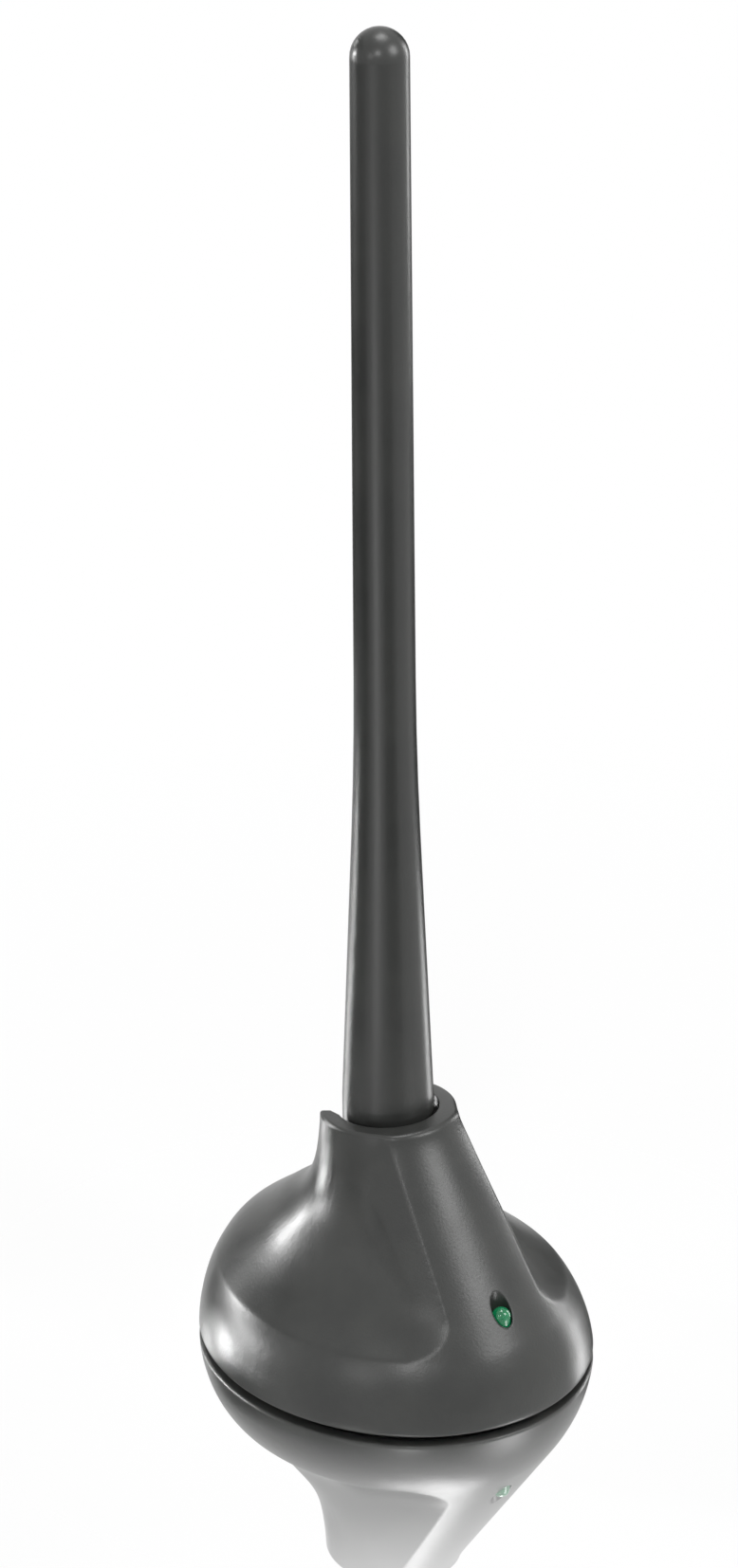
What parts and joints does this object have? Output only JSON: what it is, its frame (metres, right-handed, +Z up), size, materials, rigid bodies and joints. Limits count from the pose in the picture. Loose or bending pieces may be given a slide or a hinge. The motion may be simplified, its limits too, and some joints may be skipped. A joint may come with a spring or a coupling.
{
  "type": "indoor tv antenna",
  "caption": "Small table-top TV antenna: a tapered plastic rod that folds back out of a sculpted oval base with an indicator lamp and a rear cable outlet.",
  "frame": {"origin": "middle of the base's oval footprint, on the surface that it stands on", "axes": "+Z up along the rod, -Y towards the indicator lamp at the front, +X to the right seen from the front"},
  "size_m": [0.0612, 0.0704, 0.2194],
  "materials": {
    "housing_plastic": "satin moulded plastic, dark grey",
    "rod_plastic": "satin moulded plastic, dark grey",
    "floor_plastic": "fine spark-eroded plastic, black",
    "rubber": "soft matt rubber, black",
    "ballast_steel": "zinc-plated steel plate",
    "screw_steel": "zinc-plated steel",
    "board": "green solder mask on glass laminate",
    "tin_plate": "folded tin plate",
    "chip_resin": "black moulding resin",
    "capacitor_can": "drawn aluminium can",
    "terminal_plastic": "green moulded plastic",
    "lamp_resin": "clear green resin",
    "spacer_nylon": "natural nylon",
    "lead_wire": "tinned wire",
    "contact_brass": "turned brass",
    "spring_wire": "drawn spring wire",
    "washer_polymer": "low-wear acetal",
    "pin_steel": "ground steel"
  },
  "bodies": {
    "base": {"top_housing": "housing_plastic", "base_plate": "floor_plastic", "foot_pad": "rubber", "ballast_weight": "ballast_steel", "case_screws": "screw_steel", "circuit_board": "board", "board_screws": "screw_steel", "shield_can": "tin_plate", "amplifier_chip": "chip_resin", "board_capacitors": "capacitor_can", "cable_terminal": "terminal_plastic", "led_lens": "lamp_resin", "led_spacer": "spacer_nylon", "led_leads": "lead_wire", "cable_gland": "rubber", "plunger_barrel": "contact_brass", "contact_spring": "spring_wire", "contact_plunger": "contact_brass", "friction_washers": "washer_polymer"},
    "rod": {"rod_sleeve": "rod_plastic", "radiator_rod": "contact_brass", "hinge_pins": "pin_steel"}
  },
  "joints": [
    {"name": "rod_fold", "type": "hinge", "parent": "base", "child": "rod", "pos_m": [0, 0.0015, 0.036], "axis": [-1, 0, 0], "range_deg": [0, 90]}
  ]
}
